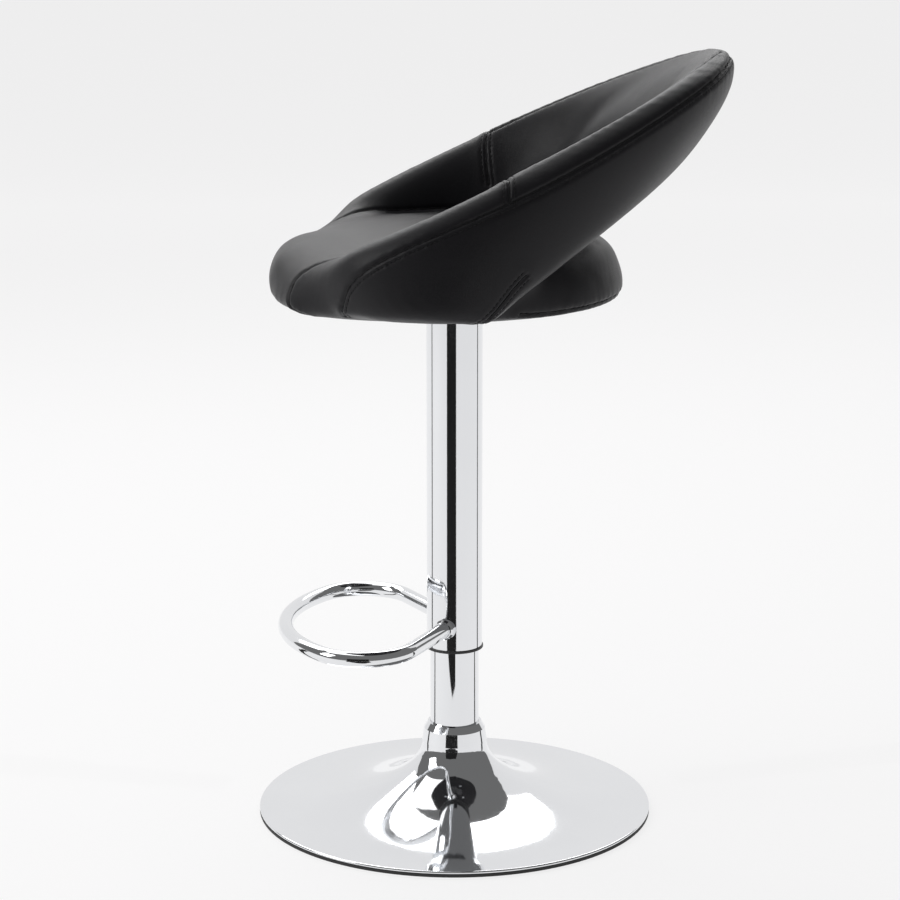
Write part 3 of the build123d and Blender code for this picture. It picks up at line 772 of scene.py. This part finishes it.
# %% Valleys
valley_depth = 0.0019
valley_width = 0.0022
gather_depth = 0.00010
gather_length = 0.0125
gather_reach = 0.0080
row_depth = 0.0009
row_width = 0.0014
row_offset = 0.0052
valley_split, row_split = 2.0, 1.6
wander, wander_rate = 1.7, 61.0
skin.modifiers.new("subdivision", "SUBSURF").levels = 1
apply_modifiers(skin)
skin_tree = tree_of(skin)


def frames_along(line):
    """Point, direction, surface normal and sideways direction at each step of a line."""
    made = []
    for i, (p, n) in enumerate(line):
        ahead = (line[min(i + 1, len(line) - 1)][0] - line[max(i - 1, 0)][0]).normalized()
        made.append((p, ahead, n, n.cross(ahead).normalized()))
    return made


def beside(line, offset):
    """A row a little to one side of a seam, pressed onto the skin."""
    return press_on([p + sideways * offset for p, _, _, sideways in frames_along(line)], skin_tree)


seams = {k: [press_on([p for p, _ in one], skin_tree) for one in c] for k, c in seams.items()}
rows = [beside(one, row_offset * way) for one in seams["cross"] for way in (-1, 1)]
rows += [beside(one, row_offset * way) for one in seams["tuck"] for way in (-1, 1)]
rows += [beside(one, -row_offset) for one in seams["outer"]]
gap, _ = seam_distance(points_of(skin.data), all_seams())
row_gap, _ = seam_distance(points_of(skin.data), rows)
fine = bmesh.new()
fine.from_mesh(skin.data)
fine.verts.ensure_lookup_table()
near = np.minimum(gap - valley_split * valley_width, row_gap - row_split * row_width)
close = [e for e in fine.edges if max(near[v.index] for v in e.verts) < 0]
bmesh.ops.subdivide_edges(fine, edges=close, cuts=1, use_grid_fill=True, smooth=0.0)
fine.to_mesh(skin.data)
fine.free()
gap, along = seam_distance(points_of(skin.data), all_seams())
row_gap, _ = seam_distance(points_of(skin.data), rows)
wave = np.sin(2 * math.pi * along / gather_length + wander * np.sin(along * wander_rate))
push = -valley_depth * np.exp(-((gap / valley_width) ** 2))
push += gather_depth * wave * np.exp(-((gap / gather_reach) ** 2))
push -= row_depth * np.exp(-((row_gap / row_width) ** 2))
place_points(skin.data, points_of(skin.data) + normals_of(skin.data) * push[:, None])
skin.data.polygons.foreach_set("use_smooth", [True] * len(skin.data.polygons))
print("cover has", len(skin.data.polygons), "faces")

# %% [markdown]
# ## Thread
# Each seam's closing thread lies deep in its valley, so a thin dark cord does. The outer seam,
# the cross seams and the tucks also have a row of topstitching about five millimetres to the
# side. A stitch is a short round-ended piece of thread with a gap before the next one, sunk a
# little where the needle went in.

# %% Seam cords and topstitching
stitch_length = 0.0036
stitch_pitch = 0.0048
stitch_radius = 0.00042
cord_radius = 0.00055
stitch_proud, stitch_sunk = 1.1, 0.5
blunt_start, blunt_end = 0.35, 0.3
skin_tree = tree_of(skin)


def tube(verts, faces, spine, radii, lifts, sides=6):
    """Add one thin tube round a spine of frames."""
    first = len(verts)
    for (p, _, n, sideways), radius, lift in zip(spine, radii, lifts):
        for k in range(sides):
            a = 2 * math.pi * k / sides
            verts.append(p + n * (lift + radius * math.sin(a)) + sideways * radius * math.cos(a))
    for i in range(len(spine) - 1):
        for k in range(sides):
            low, right = first + i * sides + k, first + i * sides + (k + 1) % sides
            faces.append((low, right, right + sides, low + sides))
    last = first + (len(spine) - 1) * sides
    faces.append(tuple(range(first + sides - 1, first - 1, -1)))
    faces.append(tuple(range(last, last + sides)))


def thin_piece(name, verts, faces, material):
    """A smooth-shaded mesh object from lists."""
    mesh = bpy.data.meshes.new(name)
    mesh.from_pydata([tuple(v) for v in verts], [], faces)
    mesh.polygons.foreach_set("use_smooth", [True] * len(mesh.polygons))
    mesh.materials.append(material)
    made = bpy.data.objects.new(name, mesh)
    bpy.context.scene.collection.objects.link(made)
    return made


def cords(name, lines):
    """One continuous thin cord along each line, half sunk in its valley."""
    verts, faces = [], []
    for line in lines:
        spine = frames_along(line[::2])
        count = len(spine)
        tube(verts, faces, spine, [cord_radius] * count, [0.0] * count)
    return thin_piece(name, verts, faces, sewing)


def stitches(name, rows):
    """A row of separate stitches along each line."""
    verts, faces = [], []
    per_stitch = round(stitch_length / seam_step)
    per_pitch = round(stitch_pitch / seam_step)
    for row in rows:
        spine = frames_along(row)
        for i in range(0, len(spine) - per_stitch, per_pitch):
            some = spine[i : i + per_stitch + 1]
            ends = len(some) - blunt_end
            bulge = [math.sin(math.pi * (k + blunt_start) / ends) ** 0.5 for k in range(len(some))]
            radii = [stitch_radius * b for b in bulge]
            lifts = [stitch_radius * (stitch_proud * b - stitch_sunk) for b in bulge]
            tube(verts, faces, some, radii, lifts)
    print(name, len(rows), "rows")
    return thin_piece(name, verts, faces, sewing)


lines = [press_on([p for p, _ in one], skin_tree) for one in all_seams()]
seam_cords = cords("seam_cords", lines)
rows = [press_on([p for p, _ in one], skin_tree) for one in rows]
topstitching = stitches("topstitching", rows)

# %% [markdown]
# ## Onto the stool
# The cover, the cords and the stitches all ride on the seat, so they turn and rise with it.
# The cover stands for the two plain foams of the CAD model.

# %% Join to the frame
skin.data.materials.clear()
skin.data.materials.append(leather)
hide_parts("seat_pad", "back_band")
for piece in (skin, seam_cords, topstitching):
    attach(piece, "seat")
print("pieces", [piece.name for piece in (skin, seam_cords, topstitching)])

# %% [markdown]
# ## Floor and backdrop
# A pale sweep of paper is floor and background in one. The curve between them hides the corner.
# The paper glows a little by itself, because lamps alone would leave it grey far from the stool.
# Polished metal shows whatever stands round it, and in pale surroundings alone it would look like
# plaster. So the shade of the unlit part of the room, where the camera stands, is painted in as
# dark sheets: a dark stretch of floor with an upright dark card behind it, and a narrow dark gap on
# each side. These painted reflections of shade draw the dark stripes that make a tube look like
# chrome. They are there for reflections only: the camera, the shadows and the soft light leave them
# out.


# %% Stage pieces
def stage_finish(name, shade, rough, glow=0.0):
    """Paper or cloth with a very faint cloud, which may glow."""
    made = Finish(name, Specular_IOR_Level=0.2, Emission_Strength=glow)
    made.shader.inputs["Emission Color"].default_value = (1.0, 0.997, 1.0, 1)
    cloud = made.noise(scale=0.6, detail=2.0)
    cloud_shade, cloud_haze = 0.985, 0.02
    low, high = (shade * cloud_shade,) * 3 + (1,), (shade,) * 3 + (1,)
    made.feed(Base_Color=made.mix(cloud, low, high), Roughness=rough + cloud * cloud_haze)
    return made.material


def sweep_sheet(name, profile, low_y, high_y, material):
    """A sheet that follows an (x, z) profile and runs straight along Y."""
    verts = [(x, y, z) for x, z in profile for y in (low_y, high_y)]
    faces = [(2 * i, 2 * i + 1, 2 * i + 3, 2 * i + 2) for i in range(len(profile) - 1)]
    sheet = thin_piece(name, verts, faces, material)
    return sheet


cove = 2.0
wall_x = -6.5
floor_end_x = 9.0
paper_half = 9.0
wall_top = 8.0
floor_z = -0.0003
profile = [(floor_end_x, floor_z)]
for step in range(0, 91, 6):
    bend = math.radians(step)
    profile += [(wall_x + cove * (1 - math.sin(bend)), floor_z + cove * (1 - math.cos(bend)))]
profile += [(wall_x, wall_top)]
glowing = stage_finish("paper", 0.14, 0.8, glow=0.80)
sweep_sheet("paper_sweep", profile, -paper_half, paper_half, glowing)
print("paper sweep with", len(profile), "creases")

# %% Dark pieces for the reflections
# The unlit finish is painted shade: a near-black colour that stands for the dark, unlit part of the
# room in the reflections.
unlit = stage_finish("unlit", 0.012, 0.9)
unlit_lift = 0.001
opening_near, opening_full, opening_far = 0.41, 0.60, 3.4
opening_edges = (-33.0, 9.0)
card_width, card_height = 2.5, 1.6
gap_corners = ((0.25, 103), (3.2, 104), (3.2, 109), (0.25, 112))


def reflected_only(thing):
    """Hide a piece from the camera, from soft light and from shadows."""
    thing.visible_camera = False
    thing.visible_diffuse = False
    thing.visible_shadow = False


def dark_card(name, azimuth, distance):
    """An upright dark sheet of painted shade, seen only in reflections, at an angle from +X."""
    profile = [(0, 0.0), (0, card_height)]
    card = sweep_sheet(name, profile, -card_width / 2, card_width / 2, unlit)
    turn = math.radians(azimuth)
    card.location = (distance * math.cos(turn), distance * math.sin(turn), 0)
    card.rotation_euler = (0, 0, turn)
    reflected_only(card)


def floor_patch(name, corners):
    """A flat dark patch of painted shade on the floor, seen only in reflections, with its corners
    as (distance, azimuth).
    """
    around = [(r, math.radians(azimuth)) for r, azimuth in corners]
    verts = [(r * math.cos(a), r * math.sin(a), unlit_lift) for r, a in around]
    patch = thin_piece(name, verts, [tuple(range(len(verts)))], unlit)
    reflected_only(patch)


left, right = opening_edges
centre = (left + right) / 2
near_side = [(opening_near, centre - 1), (opening_near, centre + 1), (opening_full, right)]
far_side = [(opening_far, right), (opening_far, left), (opening_full, left)]
floor_patch("opening_floor", near_side + far_side)
dark_card("opening", centre, opening_far)
for way in (-1, 1):
    floor_patch("side_gap", [(r, way * azimuth) for r, azimuth in gap_corners])
print("dark opening from", left, "to", right, "degrees and two side gaps")

# %% [markdown]
# ## Light
# Three soft boxes do the rest: one overhead for the seat, a long one on the far side for the
# bright rim along the top of the back, and one in front of the seat so that the black cover
# shows its form. Small hard lamps would make small white spots on the chrome. The camera sees no
# lamp.

# %% Lights
def soft_box(name, place, size, power):
    """A rectangular area light aimed at the middle of the stool."""
    data = bpy.data.lights.new(name, "AREA")
    data.shape = "RECTANGLE"
    data.size, data.size_y = size
    data.energy = power
    lamp = bpy.data.objects.new(name, data)
    bpy.context.scene.collection.objects.link(lamp)
    lamp.location = place
    lamp.visible_camera = False
    aim = stool_middle - Vector(place)
    lamp.rotation_euler = aim.to_track_quat("-Z", "Y").to_euler()


stool_middle = Vector((0, 0, 0.4))
soft_box("overhead", (-0.4, -0.5, 2.6), (1.6, 2.2), power=16)
soft_box("back_light", (-2.0, -0.4, 2.1), (3.6, 1.0), power=36)
soft_box("left_fill", (0.5, -2.6, 1.7), (1.2, 1.4), power=26)
world = bpy.data.worlds.new("studio")
world.use_nodes = True
background = world.node_tree.nodes["Background"]
background.inputs["Color"].default_value = (1.0, 1.0, 1.0, 1)
background.inputs["Strength"].default_value = 0.16
bpy.context.scene.world = world
bpy.context.scene.view_settings.view_transform = "Standard"
print("lamps", [lamp.name for lamp in bpy.data.lights])
